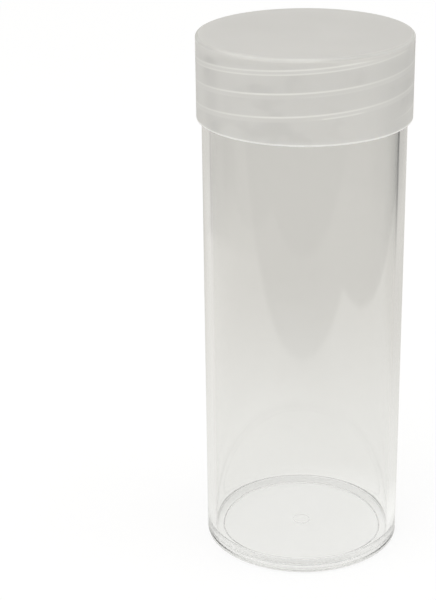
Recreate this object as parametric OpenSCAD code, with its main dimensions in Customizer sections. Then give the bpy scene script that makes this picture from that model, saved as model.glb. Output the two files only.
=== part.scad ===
// Coin tube: a clear moulded tube for one stack of coins, closed by a frosted screw cap.
// Lengths are in millimetres. +Z is up the tube's axis, and the origin is the centre of its base.

/* [Coins] */
// Diameter of the coin that the tube is made for
coin_d = 24.26; // [17:0.01:40]
// Thickness of one coin
coin_t = 1.75; // [1.2:0.01:3]
// Number of coins in a full stack
coin_count = 40; // [20:1:50]
// Radial gap between a coin and the bore
coin_clear = 0.47; // [0.2:0.01:0.8]
// Height left free over a full stack
head_space = 1.3; // [0.5:0.1:4]

/* [Tube] */
// Wall of the body below the neck
wall = 1.2; // [1:0.05:2]
// Thickness of the floor
floor_t = 1.3; // [0.8:0.1:2.5]
// Depth of the shallow recess that leaves a foot ring under the floor
foot_recess = 0.4; // [0.3:0.05:0.8]
// Width of the foot ring, measured inwards from the outside of the body
foot_ring_w = 2.4; // [1.2:0.1:4]
// Radius of the edge between the wall and the foot ring
foot_round = 0.4; // [0.1:0.05:0.7]
// Radius in the corner between the bore and the floor
floor_fillet = 0.4; // [0.1:0.05:0.6]
// Radius of both edges of the rim
rim_round = 0.15; // [0.05:0.05:0.25]
// Diameter of the gate mark under the floor
base_gate_d = 2.4; // [1:0.1:5]
// Height of the gate mark under the floor
base_gate_h = 0.2; // [0.05:0.05:0.25]

/* [Cap] */
// Overall height of the cap
cap_h = 11.3; // [8:0.1:16]
// Thickness of the cap's top
cap_top_t = 0.95; // [0.8:0.05:2]
// Thickness of the cap's skirt
cap_wall = 0.6; // [0.5:0.05:1.5]
// Radius of the cap's top edge
cap_edge_round = 0.4; // [0.1:0.05:0.5]
// Radius of the edges at the foot of the skirt
lip_round = 0.12; // [0.04:0.02:0.2]
// Radius in the corner under the cap's top
cap_fillet = 0.3; // [0.1:0.05:0.4]
// Diameter of the gate mark inside the cap
cap_gate_d = 3; // [1:0.1:6]
// Height of the gate mark inside the cap
cap_gate_h = 0.2; // [0.05:0.05:0.25]
// Depth of the well that the cap's gate mark sits in
gate_well_depth = 0.3; // [0.25:0.05:0.4]
// Radial gap around the gate mark in its well
gate_well_gap = 0.5; // [0.2:0.1:1]

/* [Thread] */
// Number of ridges that start side by side
thread_starts = 2; // [1:1:3]
// Rise of the cap in one turn
thread_lead = 6; // [5:0.1:9]
// Height of a ridge above its wall
ridge_h = 0.55; // [0.35:0.05:0.7]
// Width of a ridge at its wall
ridge_root_w = 1; // [0.8:0.05:1.2]
// Width of a ridge at its crest
ridge_crest_w = 0.5; // [0.3:0.05:0.7]
// Height of a cap ridge's lower end above the foot of the skirt
thread_inset = 1.5; // [1.2:0.1:2.5]
// Direction of the first cap ridge's lower end, in degrees from +X
thread_start = -42; // [-180:1:180]

/* [Fits] */
// Gap between the rim and the cap's top when the cap is tight
seat_gap = 0.05; // [0.02:0.01:0.3]
// Radial gap between the skirt and the body
skirt_clear = 0.1; // [0.05:0.01:0.3]
// Radial gap between a ridge's crest and the wall across from it
tip_clear = 0.15; // [0.08:0.01:0.3]
// Gap along the axis between the flanks that bear on each other
flank_clear = 0.1; // [0.05:0.01:0.3]
// Length of the shoulder that the skirt covers
skirt_lap = 0.5; // [0.2:0.05:0.8]

/* [Hidden] */

$fn = 180;
overrun = 0.5;
// Length of the fade at a ridge's end, in degrees round the axis
fade_angle = 30;
segments_per_turn = 72;
// Depth that a ridge is rooted in its wall, as a share of that wall
rooting_share = 0.5;
// Depth that a faded end sinks below its wall, as a share of the ridge's height
sunk_share = 0.15;

tube_color = [0.86, 0.87, 0.87, 0.4];
cap_color = [0.81, 0.81, 0.79];

// Radii, from the coin outwards
bore_r = coin_d / 2 + coin_clear;
body_r = bore_r + wall;
skirt_r = body_r + skirt_clear;
cap_r = skirt_r + cap_wall;
neck_r = skirt_r - tip_clear - ridge_h;
neck_wall = neck_r - bore_r;
foot_r = body_r - foot_ring_w;
rim_round_used = min(rim_round, neck_wall / 3);
// The shoulder is rounded where the skirt laps over it, so that the straight wall ends at the foot of the skirt
shoulder_round = min(skirt_lap, body_r - neck_r);

// Heights, from the base upwards
floor_z = foot_recess + floor_t;
rim_z = floor_z + coin_count * coin_t + head_space;
ceiling_z = rim_z + seat_gap;
cap_top_z = ceiling_z + cap_top_t;
skirt_z = cap_top_z - cap_h;
shoulder_z = skirt_z + skirt_lap;
well_z = ceiling_z + gate_well_depth;

// The ridges: a cap ridge lies just below a tube ridge, and pulls against it when the cap is tight
flank_slope = (ridge_root_w - ridge_crest_w) / 2 / ridge_h;
ridge_offset = (ridge_root_w + ridge_crest_w) / 2 - flank_slope * tip_clear + flank_clear;
cap_ridge_low_z = skirt_z + thread_inset;
tube_ridge_low_z = shoulder_z + ridge_root_w;
tube_ridge_high_z = rim_z - ridge_root_w;

// Angle round the axis at which a ridge's centre line reaches height z, where it is at thread_start at z_at_start
function ridge_angle(z, z_at_start) = thread_start + 360 * (z - z_at_start) / thread_lead;

// How far a ridge has risen out of its wall, from 0 at a faded end to 1
function rise(a, low, high, fades_high) =
    max(0, min(1, (a - low) / fade_angle, fades_high ? (high - a) / fade_angle : 1));

// One cross-section of a ridge at angle a. side is 1 for a ridge that points outwards and -1 for one inwards.
function ridge_section(a, z, wall_r, side, rooting, grown) =
    let (
        tip = ridge_h * (grown * (1 + sunk_share) - sunk_share),
        root_half = ridge_root_w / 2 + flank_slope * rooting,
        tip_half = ridge_crest_w / 2 + flank_slope * (ridge_h - tip),
        corners = [[-rooting, -root_half], [tip, -tip_half], [tip, tip_half], [-rooting, root_half]]
    )
    [for (c = corners) [(wall_r + side * c[0]) * cos(a), (wall_r + side * c[0]) * sin(a), z + side * c[1]]];

// One ridge along its helix, from height low_z to high_z
module ridge(wall_r, side, rooting, low_z, high_z, z_at_start, fades_high) {
    low = ridge_angle(low_z, z_at_start);
    high = ridge_angle(high_z, z_at_start);
    steps = ceil((high - low) / 360 * segments_per_turn);
    angles = [for (i = [0 : steps]) low + (high - low) * i / steps];
    sections = [
        for (a = angles)
            ridge_section(
                a, low_z + (a - low) / 360 * thread_lead,
                wall_r, side, rooting, rise(a, low, high, fades_high)
            )
    ];
    corner_count = len(sections[0]);
    points = [for (s = sections) each s];
    low_end = [for (c = [corner_count - 1 : -1 : 0]) c];
    high_end = [for (c = [0 : corner_count - 1]) steps * corner_count + c];
    flanks = [
        for (i = [0 : steps - 1], c = [0 : corner_count - 1])
            let (
                here = i * corner_count + c,
                next = i * corner_count + (c + 1) % corner_count
            )
            each [
                [here, next + corner_count, here + corner_count],
                [here, next, next + corner_count]
            ]
    ];
    polyhedron(points = points, faces = concat([low_end, high_end], flanks));
}

// All the ridges of one piece, spaced evenly round the axis
module ridges(wall_r, side, rooting, low_z, high_z, z_at_start, fades_high) {
    for (s = [0 : thread_starts - 1])
        rotate([0, 0, 360 * s / thread_starts])
            ridge(wall_r, side, rooting, low_z, high_z, z_at_start, fades_high);
}

// What is cut away to round a corner at the origin, whose solid lies towards -X and -Y
module corner_waste(r) {
    translate([-r, -r])
        difference() {
            square(r + overrun);
            circle(r);
        }
}

// What is added to fill a corner at the origin, whose open side lies towards +X and +Y
module corner_fill(r) {
    difference() {
        translate([-overrun, -overrun])
            square(r + overrun);
        translate([r, r])
            circle(r);
    }
}

// Half section of the tube without its thread: X is the radius and Y the height
module tube_section() {
    difference() {
        polygon([
            [0, foot_recess],
            [foot_r, foot_recess],
            [foot_r, 0],
            [body_r, 0],
            [body_r, shoulder_z],
            [neck_r, shoulder_z],
            [neck_r, rim_z],
            [bore_r, rim_z],
            [bore_r, floor_z],
            [0, floor_z]
        ]);
        translate([body_r, 0])
            mirror([0, 1])
                corner_waste(foot_round);
        translate([body_r, shoulder_z])
            corner_waste(shoulder_round);
        translate([neck_r, rim_z])
            corner_waste(rim_round_used);
        translate([bore_r, rim_z])
            mirror([1, 0])
                corner_waste(rim_round_used);
    }
    intersection() {
        translate([bore_r, floor_z])
            mirror([1, 0])
                corner_fill(floor_fillet);
        square([body_r - foot_round, rim_z]);
    }
}

// Half section of the cap without its thread
module cap_section() {
    difference() {
        translate([0, skirt_z])
            square([cap_r, cap_h]);
        difference() {
            translate([0, skirt_z - overrun])
                square([skirt_r, ceiling_z - skirt_z + overrun]);
            translate([skirt_r, ceiling_z])
                rotate(180)
                    corner_fill(cap_fillet);
        }
        translate([0, ceiling_z - overrun])
            square([cap_gate_d / 2 + gate_well_gap, gate_well_depth + overrun]);
        translate([cap_r, cap_top_z])
            corner_waste(cap_edge_round);
        translate([cap_r, skirt_z])
            mirror([0, 1])
                corner_waste(lip_round);
        translate([skirt_r, skirt_z])
            rotate(180)
                corner_waste(lip_round);
    }
}

module tube_body() {
    color(tube_color) {
        rotate_extrude()
            tube_section();
        translate([0, 0, foot_recess - base_gate_h])
            cylinder(d = base_gate_d, h = base_gate_h + floor_t / 2);
        ridges(
            neck_r, 1, neck_wall * rooting_share,
            tube_ridge_low_z, tube_ridge_high_z, cap_ridge_low_z + ridge_offset, true
        );
    }
}

module screw_cap() {
    color(cap_color) {
        rotate_extrude()
            cap_section();
        ridges(
            skirt_r, -1, cap_wall * rooting_share,
            cap_ridge_low_z, ceiling_z, cap_ridge_low_z, false
        );
    }
}

// The small round mark that moulding leaves on the inside of the cap, at its centre
module cap_gate_mark() {
    color(cap_color)
        translate([0, 0, well_z - cap_gate_h])
            cylinder(d = cap_gate_d, h = cap_gate_h);
}

tube_body();
screw_cap();
cap_gate_mark();
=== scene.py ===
"""Looks of the coin tube: a clear moulded tube and its frosted screw cap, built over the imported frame."""

import math

import bmesh
import bpy
from mathutils import Euler, Matrix, Vector

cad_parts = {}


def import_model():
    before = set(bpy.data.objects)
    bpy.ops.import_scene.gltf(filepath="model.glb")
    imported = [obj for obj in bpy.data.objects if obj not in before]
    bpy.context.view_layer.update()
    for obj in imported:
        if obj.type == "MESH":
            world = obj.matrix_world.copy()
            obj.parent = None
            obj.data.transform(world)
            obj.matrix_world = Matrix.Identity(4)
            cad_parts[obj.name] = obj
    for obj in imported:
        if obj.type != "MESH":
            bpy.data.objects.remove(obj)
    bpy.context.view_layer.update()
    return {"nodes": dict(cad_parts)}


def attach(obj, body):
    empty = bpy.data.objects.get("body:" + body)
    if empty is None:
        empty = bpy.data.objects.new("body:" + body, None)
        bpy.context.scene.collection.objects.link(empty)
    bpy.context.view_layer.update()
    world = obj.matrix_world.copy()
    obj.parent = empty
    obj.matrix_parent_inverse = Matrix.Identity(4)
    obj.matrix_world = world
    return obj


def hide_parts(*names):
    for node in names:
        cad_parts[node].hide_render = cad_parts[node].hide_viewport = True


MM = 0.001

# Radii of the tube and cap, in millimetres
BORE_R = 12.6
BODY_R = 13.8
NECK_R = 13.2
FOOT_R = 11.4
SKIRT_R = 13.9
CAP_R = 14.5

# Heights above the base, in millimetres
FOOT_RECESS = 0.4
FLOOR_Z = 1.7
SKIRT_Z = 62.7
SHOULDER_Z = 63.2
RIM_Z = 73.0
CEILING_Z = 73.05
WELL_Z = 73.35
CAP_TOP_Z = 74.0

# Roundings, in millimetres
FOOT_ROUND = 0.4
FOOT_RING_ROUND = 0.12
SHOULDER_ROUND = 0.5
RIM_ROUND = 0.15
FLOOR_FILLET = 0.4
LIP_ROUND = 0.12
CAP_EDGE_ROUND = 0.4
CAP_FILLET = 0.3
MARK_ROUND = 0.08
# A rounding below this one is small enough for fewer steps
SMALL_ROUND = 0.2

# The gate mark under the floor, and the well in the cap's ceiling
BASE_GATE_R = 1.2
BASE_GATE_H = 0.2
WELL_R = 2.0

# The thread: two ridges on each piece, side by side
STARTS = 2
LEAD = 6.0
PITCH = LEAD / STARTS
RIDGE_H = 0.55
RIDGE_ROOT_W = 1.0
RIDGE_CREST_W = 0.5
THREAD_START = -42.0
CAP_THREAD_Z = 64.2
RIDGE_OFFSET = 0.7818
TUBE_THREAD_Z = CAP_THREAD_Z + RIDGE_OFFSET
TUBE_RIDGE_ENDS = (64.2, 72.0)
FADE_ANGLE = 30.0

# One turn is spun in this many steps, and a row of the threaded walls rises by one step of the helix
TURN_STEPS = 144
ROW = LEAD / TURN_STEPS
# Where the rows of each threaded wall begin and end, and the heights between which its ridges are raised
NECK_ROWS = (63.75, 72.5)
SKIRT_ROWS = (63.3, 72.7)
NECK_REACH = (63.4, 72.7)
SKIRT_REACH = (63.4, 73.06)
# How far off its radius a point of a threaded wall may be
WALL_SLACK = 0.01
# Gap from a rounded corner to the point that keeps the wall beside it true, or clear plastic shows a warp
HOLD = 0.1
# How near a point has to be to count as a given corner, and how near two points have to be to merge
NEAR = 0.002
MERGE_GAP = 0.0005
SMOOTH_ANGLE = 28

STYRENE_IOR = 1.59
FROST_IOR = 1.5
WHITE = (1, 1, 1, 1)

# Light runs many times between the faces of clear plastic before it leaves
BOUNCES = 32
GLOSSY_BOUNCES = 24

# The floor, in metres
FLOOR_R = 1.6
FLOOR_DROP = 0.00005
PALE_FOOT = (0.004, -0.004, 0)

# The camera, fitted to the outline of the object: place in metres, angles in degrees
CAMERA_PLACE = (0, -0.22007, 0.12664)
CAMERA_DOWN = 22.404
CAMERA_TURN = 3.101
CAMERA_ROLL = -0.75
CAMERA_LENS = 101.84


class Wire:
    """One output of a node. Sums and products of wires add Math nodes."""

    def __init__(self, finish, socket):
        self.finish = finish
        self.socket = socket

    def math(self, operation, *others):
        inputs = dict(enumerate((self, *others)))
        return self.finish.node("ShaderNodeMath", {"operation": operation}, inputs)

    def output(self, name):
        """Another output of the same node."""
        return Wire(self.finish, self.socket.node.outputs[name])

    def clamped(self):
        return self.finish.node("ShaderNodeClamp", inputs={"Value": self})

    def __add__(self, other):
        return self.math("ADD", other)

    def __radd__(self, other):
        return self.math("ADD", other)

    def __sub__(self, other):
        return self.math("SUBTRACT", other)

    def __rsub__(self, other):
        return self.finish.node("ShaderNodeMath", {"operation": "SUBTRACT"}, {0: other, 1: self})

    def __mul__(self, other):
        return self.math("MULTIPLY", other)

    def __rmul__(self, other):
        return self.math("MULTIPLY", other)

    def __truediv__(self, other):
        return self.math("DIVIDE", other)


class Finish:
    """The nodes of a material or of the world."""

    def __init__(self, owner):
        self.owner = owner
        owner.use_nodes = True
        self.tree = owner.node_tree
        self.tree.nodes.clear()

    def node(self, kind, settings=None, inputs=None, output=0):
        """Adds a node of that kind: its settings first, then the values or links of its sockets."""
        made = self.tree.nodes.new(kind)
        for name, value in (settings or {}).items():
            setattr(made, name, value)
        for name, value in (inputs or {}).items():
            if isinstance(value, Wire):
                self.tree.links.new(value.socket, made.inputs[name])
            else:
                made.inputs[name].default_value = value
        return Wire(self, made.outputs[output]) if len(made.outputs) else made

    def place(self):
        """The point on the piece, in metres."""
        return self.node("ShaderNodeTexCoord", output="Object")

    def scaled(self, vector, factors):
        return self.node("ShaderNodeVectorMath", {"operation": "MULTIPLY"}, {0: vector, 1: factors})

    def from_axis(self, place):
        """How far a point is from the tube's axis, in millimetres."""
        flat = self.scaled(place, (1, 1, 0))
        return self.node("ShaderNodeVectorMath", {"operation": "LENGTH"}, {0: flat}, output="Value") / MM

    def noise(self, vector, scale, detail=2.0, roughness=0.5):
        """A cloudy value from 0 to 1."""
        inputs = {"Vector": vector, "Scale": scale, "Detail": detail, "Roughness": roughness}
        return self.node("ShaderNodeTexNoise", inputs=inputs)

    def band(self, value, low, high, to_low=0.0, to_high=1.0):
        """Maps value from low..high to to_low..to_high, softly and no further."""
        settings = {"interpolation_type": "SMOOTHSTEP", "clamp": True}
        inputs = {"Value": value, "From Min": low, "From Max": high, "To Min": to_low, "To Max": to_high}
        return self.node("ShaderNodeMapRange", settings, inputs)

    def blend(self, share, first, second):
        """A colour between two, by share."""
        settings = {"data_type": "RGBA"}
        inputs = {"Factor": share, 6: first, 7: second}
        return self.node("ShaderNodeMix", settings, inputs, output=2)

    def bump(self, height, distance, strength=1.0, normal=None):
        inputs = {"Height": height, "Distance": distance, "Strength": strength}
        if normal is not None:
            inputs["Normal"] = normal
        return self.node("ShaderNodeBump", inputs=inputs)

    def surface(self, shader):
        self.node("ShaderNodeOutputMaterial", inputs={"Surface": shader})


def new_finish(name):
    return Finish(bpy.data.materials.new(name))


def deselect():
    for o in bpy.context.selected_objects:
        o.select_set(False)


def select_points(piece, wanted):
    """In edit mode, selects the points that wanted(x, y, z) accepts, in millimetres."""
    bm = bmesh.from_edit_mesh(piece.data)
    for v in bm.verts:
        v.select = bool(wanted(v.co.x / MM, v.co.y / MM, v.co.z / MM))
    bm.select_flush_mode()
    bmesh.update_edit_mesh(piece.data)


def near(a, b):
    return abs(a - b) < NEAR


def held(corners):
    """The points of a section: its corners, with one more on each side of a rounded one, given room."""
    points = []
    for i, (x, z, radius) in enumerate(corners):
        corner = Vector((x, z))
        reach = radius + HOLD
        ways = []
        for j in (i - 1, i + 1):
            if 0 <= j < len(corners) and radius > 0:
                way = Vector(corners[j][:2]) - corner
                ways.append(corner + way.normalized() * reach if way.length > 2 * reach else None)
            else:
                ways.append(None)
        points.extend(p for p in (ways[0], corner, ways[1]) if p is not None)
    return points


def draw_section(name, corners):
    """Draws a half section in the XZ plane by extruding one point, then rounds its corners."""
    deselect()
    bpy.ops.mesh.primitive_plane_add(size=MM, location=(0, 0, 0))
    piece = bpy.context.object
    piece.name = name
    piece.data.name = name
    bpy.ops.object.mode_set(mode="EDIT")
    select_points(piece, lambda x, y, z: x > 0 or y > 0)
    bpy.ops.mesh.delete(type="VERT")
    bpy.ops.mesh.select_all(action="SELECT")
    here = (-0.5, -0.5, 0.0)
    first = True
    for x, z in held(corners):
        step = ((x - here[0]) * MM, (0.0 - here[1]) * MM, (z - here[2]) * MM)
        if first:
            bpy.ops.transform.translate(value=step)
            first = False
        else:
            bpy.ops.mesh.extrude_vertices_move(TRANSFORM_OT_translate={"value": step})
        here = (x, 0.0, z)
    for x, z, radius in corners:
        if radius > 0:
            round_corner(piece, (x, z), radius)
    return piece


def cut_edge(piece, low, high, cuts):
    """Cuts the edge of the section between two points into equal parts."""
    wanted = (low, high)
    select_points(piece, lambda x, y, z: any(near(x, p[0]) and near(z, p[1]) for p in wanted))
    bpy.ops.mesh.subdivide(number_cuts=cuts)


def round_corner(piece, corner, radius):
    """Rounds one corner of the section, a large one in more steps."""
    select_points(piece, lambda x, y, z: near(x, corner[0]) and near(z, corner[1]))
    segments = 4 if radius < SMALL_ROUND else 8
    bpy.ops.mesh.bevel(offset=radius * MM, segments=segments, affect="VERTICES")


def spin_section(piece):
    """Spins the section round the axis into a closed solid and leaves edit mode."""
    bpy.ops.mesh.select_all(action="SELECT")
    bpy.ops.mesh.spin(
        steps=TURN_STEPS,
        angle=2 * math.pi,
        center=(0, 0, 0),
        axis=(0, 0, 1),
        use_auto_merge=True,
    )
    bpy.ops.mesh.select_all(action="SELECT")
    bpy.ops.mesh.remove_doubles(threshold=MERGE_GAP * MM)
    bpy.ops.mesh.normals_make_consistent(inside=False)
    bpy.ops.object.mode_set(mode="OBJECT")


def ridge_share(angle, z, thread_z, ends):
    """How far a ridge stands out at this angle and height: 0 on the bare wall, 1 on the crest."""
    centre = thread_z + LEAD * (angle - THREAD_START) / 360
    off = (z - centre + PITCH / 2) % PITCH - PITCH / 2
    slope = (RIDGE_ROOT_W - RIDGE_CREST_W) / 2
    share = min(1.0, max(0.0, (RIDGE_ROOT_W / 2 - abs(off)) / slope))
    mid = z - off
    fade = LEAD * FADE_ANGLE / 360
    share *= min(1.0, max(0.0, (mid - ends[0]) / fade))
    if ends[1] is not None:
        share *= min(1.0, max(0.0, (ends[1] - mid) / fade))
    return share


def raise_ridges(piece, wall_r, crest_r, thread_z, ends, reach):
    """Casts the threaded wall towards the crest's radius, by a vertex group that follows the helix."""
    group = piece.vertex_groups.new(name="ridges")
    low_r, high_r = sorted((wall_r, crest_r))
    for v in piece.data.vertices:
        x, y, z = (c / MM for c in v.co)
        r = math.hypot(x, y)
        if not (low_r - WALL_SLACK <= r <= high_r + WALL_SLACK and reach[0] <= z <= reach[1]):
            continue
        share = ridge_share(math.degrees(math.atan2(y, x)), z, thread_z, ends)
        if share > 0:
            group.add([v.index], share, "REPLACE")
    deselect()
    piece.select_set(True)
    bpy.context.view_layer.objects.active = piece
    bpy.ops.object.modifier_add(type="CAST")
    cast = piece.modifiers[-1]
    cast.cast_type = "CYLINDER"
    cast.use_z = False
    cast.use_radius_as_size = False
    cast.factor = 1.0
    cast.size = crest_r * MM
    cast.vertex_group = group.name
    bpy.ops.object.modifier_apply(modifier=cast.name)
    piece.vertex_groups.clear()


def smooth(piece):
    deselect()
    piece.select_set(True)
    bpy.context.view_layer.objects.active = piece
    bpy.ops.object.shade_smooth_by_angle(angle=math.radians(SMOOTH_ANGLE))


def row_near(z, thread_z):
    """The height nearest to z that a row of the helix passes through."""
    base = thread_z - LEAD * THREAD_START / 360
    return base + round((z - base) / ROW) * ROW


def make_tube():
    """The clear tube: foot ring, floor, wall, shoulder, threaded neck and rim."""
    low = row_near(NECK_ROWS[0], TUBE_THREAD_Z)
    high = row_near(NECK_ROWS[1], TUBE_THREAD_Z)
    gate_z = FOOT_RECESS - BASE_GATE_H
    corners = [
        (0, gate_z, 0),
        (BASE_GATE_R, gate_z, MARK_ROUND),
        (BASE_GATE_R, FOOT_RECESS, 0),
        (FOOT_R, FOOT_RECESS, FOOT_RING_ROUND),
        (FOOT_R, 0, FOOT_RING_ROUND),
        (BODY_R, 0, FOOT_ROUND),
        (BODY_R, SHOULDER_Z, SHOULDER_ROUND),
        (NECK_R, SHOULDER_Z, 0),
        (NECK_R, low, 0),
        (NECK_R, high, 0),
        (NECK_R, RIM_Z, RIM_ROUND),
        (BORE_R, RIM_Z, RIM_ROUND),
        (BORE_R, FLOOR_Z, FLOOR_FILLET),
        (0, FLOOR_Z, 0),
    ]
    piece = draw_section("clear_tube", corners)
    cut_edge(piece, (NECK_R, low), (NECK_R, high), round((high - low) / ROW) - 1)
    spin_section(piece)
    raise_ridges(piece, NECK_R, NECK_R + RIDGE_H, TUBE_THREAD_Z, TUBE_RIDGE_ENDS, NECK_REACH)
    smooth(piece)
    return piece


def make_cap():
    """The frosted cap: top, skirt and inner thread, with the shallow well in its ceiling."""
    low = row_near(SKIRT_ROWS[0], CAP_THREAD_Z)
    high = row_near(SKIRT_ROWS[1], CAP_THREAD_Z)
    corners = [
        (0, WELL_Z, 0),
        (WELL_R, WELL_Z, 0),
        (WELL_R, CEILING_Z, MARK_ROUND),
        (SKIRT_R, CEILING_Z, CAP_FILLET),
        (SKIRT_R, high, 0),
        (SKIRT_R, low, 0),
        (SKIRT_R, SKIRT_Z, LIP_ROUND),
        (CAP_R, SKIRT_Z, LIP_ROUND),
        (CAP_R, CAP_TOP_Z, CAP_EDGE_ROUND),
        (0, CAP_TOP_Z, 0),
    ]
    piece = draw_section("frosted_cap", corners)
    cut_edge(piece, (SKIRT_R, low), (SKIRT_R, high), round((high - low) / ROW) - 1)
    spin_section(piece)
    raise_ridges(piece, SKIRT_R, SKIRT_R - RIDGE_H, CAP_THREAD_Z, (CAP_THREAD_Z, None), SKIRT_REACH)
    smooth(piece)
    return piece


def styrene_finish():
    """Clear polystyrene: a faint flow wave, fine draw marks along the wall and a little haze."""
    f = new_finish("moulded_styrene")
    place = f.place()
    streaks = f.noise(f.scaled(place, (1.0, 1.0, 0.02)), 900.0, 3.0)
    waves = f.noise(f.scaled(place, (1.0, 1.0, 0.25)), 90.0, 2.0)
    scuffs = f.noise(place, 420.0, 5.0, 0.65)
    haze = f.band(scuffs, 0.56, 0.78)
    # The underside is less polished, as the mould leaves it
    height = f.node("ShaderNodeSeparateXYZ", inputs={"Vector": place}, output="Z") / MM
    under = f.band(height, FOOT_RECESS + 0.02, FOOT_RECESS + 0.07, 1.0, 0.0)
    under = under * f.band(f.from_axis(place), BODY_R - 0.6, BODY_R - 0.4, 1.0, 0.0)
    rough = 0.02 + 0.03 * haze + 0.02 * f.band(streaks, 0.5, 0.8) + 0.09 * under
    tone = f.blend(haze, (0.97, 0.97, 0.965, 1), (0.945, 0.945, 0.94, 1))
    normal = f.bump(waves, 0.00002, 0.35)
    normal = f.bump(streaks, 0.000002, 0.3, normal)
    shader = f.node(
        "ShaderNodeBsdfPrincipled",
        inputs={
            "Base Color": tone,
            "Roughness": rough,
            "Normal": normal,
            "IOR": STYRENE_IOR,
            "Transmission Weight": 1.0,
        },
    )
    f.surface(shader)
    return f.owner


def ridge_highlights(f, place, turns, height):
    """Painted highlights where the cap's ridges show through the skirt: masks of the top and bottom edges of
    each ridge, and of the whole ridge bands.

    Turns run round the axis, with 0 at the right, -0.25 at the front and 0.5 at the left.
    """
    rise = height - turns * LEAD - (CAP_THREAD_Z - LEAD * THREAD_START / 360 - PITCH / 2)
    off = rise.math("FLOORED_MODULO", PITCH) - PITCH / 2
    middle = height - off
    there = f.band(middle, CAP_THREAD_Z, CAP_THREAD_Z + 0.5) * f.band(height, 73.1, 73.3, 1.0, 0.0)
    # One short stretch of a bottom ridge edge's painted highlight at the front, brighter than the rest of it
    dash_highlight = f.band(turns, -0.232, -0.218) * f.band(turns, -0.175, -0.155, 1.0, 0.0)
    dash_highlight = dash_highlight * f.band(middle, 67.4, 67.8, 1.0, 0.0)
    patches = 0.2 * f.band(f.noise(place, 70.0, 1.0), 0.48, 0.6) + f.band(middle, 70.6, 71.2) + dash_highlight
    upper_edge_highlight = f.band((off - 0.27).math("ABSOLUTE"), 0.05, 0.17, 1.0, 0.0)
    lower_edge_highlight = f.band((off + 0.26).math("ABSOLUTE"), 0.04, 0.15, 1.0, 0.0) * patches.clamped()
    band = f.band(off.math("ABSOLUTE"), 0.25, 0.5, 1.0, 0.0)
    # The painted edge highlights are brightest at the front and fade to the sides
    highlight_strength = f.band(((turns + 0.27) * (2 * math.pi)).math("COSINE"), 0.5, 1.0, 0.45, 1.0)
    return there * upper_edge_highlight * highlight_strength, there * lower_edge_highlight * highlight_strength, there * band


def frosted_finish():
    """Frosted cap plastic: translucent, satin, with a fine grain; painted highlights over its ridges and
    along the bottom of its skirt, and painted shade between its ridges and on its top edge.
    """
    f = new_finish("satin_frost")
    place = f.place()
    grain = f.noise(place, 5200.0, 3.0, 0.6)
    cloud = f.noise(place, 60.0, 2.0)
    parts = f.node("ShaderNodeSeparateXYZ", inputs={"Vector": place}, output="X")
    height = parts.output("Z") / MM
    turns = parts.output("Y").math("ARCTAN2", parts) / (2 * math.pi)
    upper_edge_highlight, lower_edge_highlight, band = ridge_highlights(f, place, turns, height)
    # The rounded top edge is dull and darkened by painted shade, except for a more polished, less shaded
    # stretch at the front left
    edge = f.band(height + f.from_axis(place), CAP_R + CAP_TOP_Z - 0.44, CAP_R + CAP_TOP_Z - 0.28)
    polished_less_shaded = f.band(turns, -0.42, -0.38) * f.band(turns, -0.24, -0.19, 1.0, 0.0)
    polished_less_shaded = polished_less_shaded * f.band(f.noise(place, 150.0, 1.0), 0.35, 0.6, 0.6, 1.0)
    # A painted highlight along the bottom edge of the skirt
    lip_highlight = f.band(height, SKIRT_Z + 0.2, SKIRT_Z + 0.34, 1.0, 0.0)
    tone = f.blend(f.band(cloud, 0.3, 0.7), (0.62, 0.615, 0.597, 1), (0.66, 0.655, 0.637, 1))
    # Painted shade in cloudy blotches between the ridges, below the ceiling
    shade_blotches = f.band(f.noise(f.scaled(place, (1.0, 1.0, 1.6)), 170.0, 2.0), 0.5, 0.66) * (1 - band)
    shade_blotches = shade_blotches * f.band(height, CEILING_Z - 0.5, CEILING_Z, 1.0, 0.0)
    # Painted shade: two darker upright patches between the ridges, at the left and at the right
    side_shade = 0.85 * f.band((turns + 0.407).math("ABSOLUTE"), 0.004, 0.026, 1.0, 0.0)
    side_shade = side_shade + 0.6 * f.band((turns + 0.105).math("ABSOLUTE"), 0.005, 0.045, 1.0, 0.0)
    side_shade = side_shade * f.band(cloud, 0.35, 0.55, 0.5, 1.0) * (1 - band) * f.band(height, 72.2, 73.2, 1.0, 0.0)
    tone = f.blend((0.4 * shade_blotches + 0.5 * side_shade).clamped(), tone, (0.52, 0.517, 0.505, 1))
    # Painted highlight lines along the ridge edges, and a faint painted lightening over the whole ridges
    tone = f.blend((0.65 * upper_edge_highlight + 0.6 * lower_edge_highlight + 0.1 * band).clamped(), tone, (0.86, 0.86, 0.83, 1))
    tone = f.blend(0.9 * lip_highlight, tone, (0.95, 0.95, 0.92, 1))
    # Painted shade on the rounded top edge, weaker on the polished stretch
    tone = f.blend(edge * (0.78 - 0.5 * polished_less_shaded), tone, (0.45, 0.447, 0.433, 1))
    rough = f.band(cloud, 0.3, 0.7, 0.30, 0.38) + 0.4 * edge * (1 - polished_less_shaded)
    normal = f.bump(grain, 0.000003, 0.4)
    milky = f.node(
        "ShaderNodeBsdfPrincipled",
        inputs={
            "Base Color": tone,
            "Roughness": rough,
            "Normal": normal,
            "IOR": FROST_IOR,
            "Subsurface Weight": 0.8,
            "Subsurface Radius": (1.0, 1.0, 0.95),
            "Subsurface Scale": 0.0012,
            "Coat Weight": 0.25 - 0.25 * edge * (1 - polished_less_shaded),
            "Coat Roughness": 0.15,
        },
    )
    clear = f.node(
        "ShaderNodeBsdfPrincipled",
        inputs={
            "Base Color": (0.93, 0.93, 0.915, 1),
            "Roughness": 0.3 + 0.4 * edge,
            "Normal": normal,
            "IOR": FROST_IOR,
            "Transmission Weight": 1.0,
        },
    )
    share = f.band(height, CEILING_Z, CAP_TOP_Z, 0.28, 0.2) + f.band(cloud, 0.3, 0.7, -0.02, 0.02)
    f.surface(f.node("ShaderNodeMixShader", inputs={"Fac": share, 1: milky, 2: clear}))
    return f.owner


def give(piece, material):
    piece.data.materials.clear()
    piece.data.materials.append(material)


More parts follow.
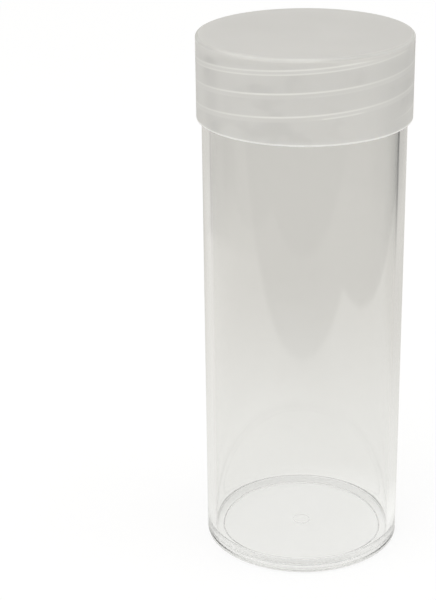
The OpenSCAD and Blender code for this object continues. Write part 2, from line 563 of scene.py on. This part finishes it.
def floor_finish():
    """A pale floor: white to the camera, and toned in zones with painted light, shade and reflections for
    what the plastic mirrors and lets through.
    """
    f = new_finish("pale_floor")
    path = f.node("ShaderNodeLightPath", output="Is Camera Ray")
    glossy = path.output("Is Glossy Ray")
    through = path.output("Is Transmission Ray")
    bounced = path.output("Glossy Depth").clamped()
    seen = (path + glossy + through).clamped()
    place = f.place()
    parts = f.node("ShaderNodeSeparateXYZ", inputs={"Vector": place}, output="X")
    away = f.node("ShaderNodeVectorMath", {"operation": "LENGTH"}, {0: place}, output="Value")
    # Painted light seen in the plastic: palest under the foot and darker outwards
    colour = f.blend(f.band(away, 0.0, 0.105), (0.85, 0.85, 0.825, 1), (0.612, 0.598, 0.563, 1))
    from_foot = {0: place, 1: PALE_FOOT}
    foot = f.node("ShaderNodeVectorMath", {"operation": "DISTANCE"}, from_foot, output="Value")
    colour = f.blend(f.band(foot, 0.013, 0.026, 1.0, 0.0), colour, (0.98, 0.98, 0.96, 1))
    # Painted light and shade: lighter to the left, darker far to the right, and a painted reflection of
    # light beyond the tube, for mirrored light only
    left = f.band(parts, -0.06, -0.01, 1.0, 0.0) * f.band(away, 0.08, 0.14, 1.0, 0.0)
    far_left = f.band(parts, -0.09, -0.05, 1.0, 0.0) * f.band(away, 0.13, 0.19, 1.0, 0.0)
    colour = f.blend(0.4 * (left + far_left).clamped(), colour, (0.93, 0.92, 0.89, 1))
    right = f.band(parts, 0.05, 0.11) * f.band(away, 0.12, 0.19)
    colour = f.blend(0.65 * right, colour, (0.40, 0.39, 0.365, 1))
    depth = parts.output("Y")
    mirrored = glossy * (1 - through) * f.band(parts, 0.02, 0.06) * f.band(depth, 0.01, 0.04, 1.0, 0.0)
    colour = f.blend(mirrored, colour, (0.96, 0.96, 0.94, 1))
    # Two painted dark bands beyond the tube, painted shade for light that has passed through it
    painted_dark_bands = 0.0
    for side, strength in ((1, 1.0), (-1, 0.3)):
        aside = (side * parts - 0.0095).math("ARCTAN2", depth + 0.0083)
        painted_dark_bands = painted_dark_bands + strength * f.band(aside, 0.685, 0.705) * f.band(aside, 1.2, 1.3, 1.0, 0.0)
    colour = f.blend(painted_dark_bands * f.band(away, 0.10, 0.18) * through, colour, (0.02, 0.02, 0.02, 1))
    # A painted dark reflection, mostly for mirrored light: in front, far off and to the right
    front = f.band(depth, -0.089, -0.083, 1.0, 0.0)
    nearer = f.band(parts, -0.07, -0.04, 0.021, 0.0)
    far = 0.4 * f.band(away + nearer, 0.15, 0.164) * f.band(depth, 0.08, 0.12, 1.0, 0.0)
    right_edge = f.band(parts - 0.354 * depth, 0.110, 0.116)
    beyond = (front + far + right_edge).clamped()
    beyond = beyond * glossy * (1 - through * (1 - 0.5 * bounced))
    colour = f.blend(beyond, colour, (0.1, 0.1, 0.1, 1))
    colour = f.blend(path, colour, WHITE)
    paper = f.node("ShaderNodeBsdfDiffuse", inputs={"Color": (0.92, 0.92, 0.915, 1)})
    white = f.node("ShaderNodeEmission", inputs={"Color": colour, "Strength": 1.0})
    lit = seen * f.band(away, 0.15, 0.7, 0.85, 1.0)
    f.surface(f.node("ShaderNodeMixShader", inputs={"Fac": lit, 1: paper, 2: white}))
    return f.owner


def make_stage():
    deselect()
    place = (0, 0, -FLOOR_DROP)
    bpy.ops.mesh.primitive_circle_add(vertices=96, radius=FLOOR_R, fill_type="NGON", location=place)
    floor = bpy.context.object
    floor.name = "floor"
    bpy.ops.object.transform_apply(location=True)
    give(floor, floor_finish())


def make_world():
    """The room: white to the camera, pale through the plastic, else a warm grey that is darker behind."""
    world = bpy.data.worlds.new("studio")
    bpy.context.scene.world = world
    f = Finish(world)
    path = f.node("ShaderNodeLightPath", output="Is Camera Ray")
    way = f.node("ShaderNodeTexCoord", output="Generated")
    parts = f.node("ShaderNodeSeparateXYZ", inputs={"Vector": way}, output="X")
    side = f.band(parts, -1.0, 1.0)
    behind = f.band(parts.output("Y"), -1.0, 1.0)
    colour = f.blend(side, (0.90, 0.89, 0.86, 1), (0.80, 0.79, 0.76, 1))
    colour = f.blend(0.8 * behind, colour, (0.44, 0.43, 0.41, 1))
    colour = f.blend(path.output("Is Transmission Ray"), colour, (0.92, 0.92, 0.90, 1))
    colour = f.blend(path, colour, WHITE)
    sky = f.node("ShaderNodeBackground", inputs={"Color": colour, "Strength": 1.0})
    f.node("ShaderNodeOutputWorld", inputs={"Surface": sky})


def soft_light(name, place, aim, width, height, power):
    bpy.ops.object.light_add(type="AREA", location=place)
    lamp = bpy.context.object
    lamp.name = name
    lamp.data.shape = "RECTANGLE"
    lamp.data.size = width
    lamp.data.size_y = height
    lamp.data.energy = power
    # The tube's inner walls would show each lamp as a hard rectangle
    lamp.visible_transmission = False
    lamp.rotation_euler = (Vector(aim) - Vector(place)).to_track_quat("-Z", "Y").to_euler()


def make_lights():
    middle = (0, 0, 0.037)
    soft_light("left_softbox", (-0.4, -0.5, 0.45), middle, 1.2, 0.7, 3.3)
    soft_light("right_softbox", (0.6, -0.1, 0.35), middle, 0.9, 0.6, 2.35)
    soft_light("top_softbox", (-0.05, 0.1, 0.75), middle, 0.6, 0.6, 1.3)


def make_camera():
    data = bpy.data.cameras.new("camera")
    camera = bpy.data.objects.new("camera", data)
    bpy.context.scene.collection.objects.link(camera)
    data.sensor_fit = "AUTO"
    data.sensor_width = 36.0
    data.lens = CAMERA_LENS
    data.clip_start = 0.01
    data.clip_end = 10.0
    turn = Euler((math.radians(90 - CAMERA_DOWN), 0.0, math.radians(CAMERA_TURN))).to_matrix()
    roll = Matrix.Rotation(math.radians(CAMERA_ROLL), 3, "Z")
    camera.matrix_world = Matrix.Translation(CAMERA_PLACE) @ (turn @ roll).to_4x4()
    bpy.context.scene.camera = camera


def main():
    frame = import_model()
    deselect()
    scene = bpy.context.scene
    scene.view_settings.view_transform = "Standard"
    scene.cycles.max_bounces = BOUNCES
    scene.cycles.glossy_bounces = GLOSSY_BOUNCES
    scene.cycles.transmission_bounces = BOUNCES
    make_camera()
    make_world()
    make_lights()
    make_stage()

    styrene = styrene_finish()
    frosted = frosted_finish()

    tube = make_tube()
    give(tube, styrene)
    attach(tube, "tube")
    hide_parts("tube_body")

    cap = make_cap()
    give(cap, frosted)
    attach(cap, "cap")
    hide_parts("screw_cap")

    give(frame["nodes"]["cap_gate_mark"], frosted)


main()
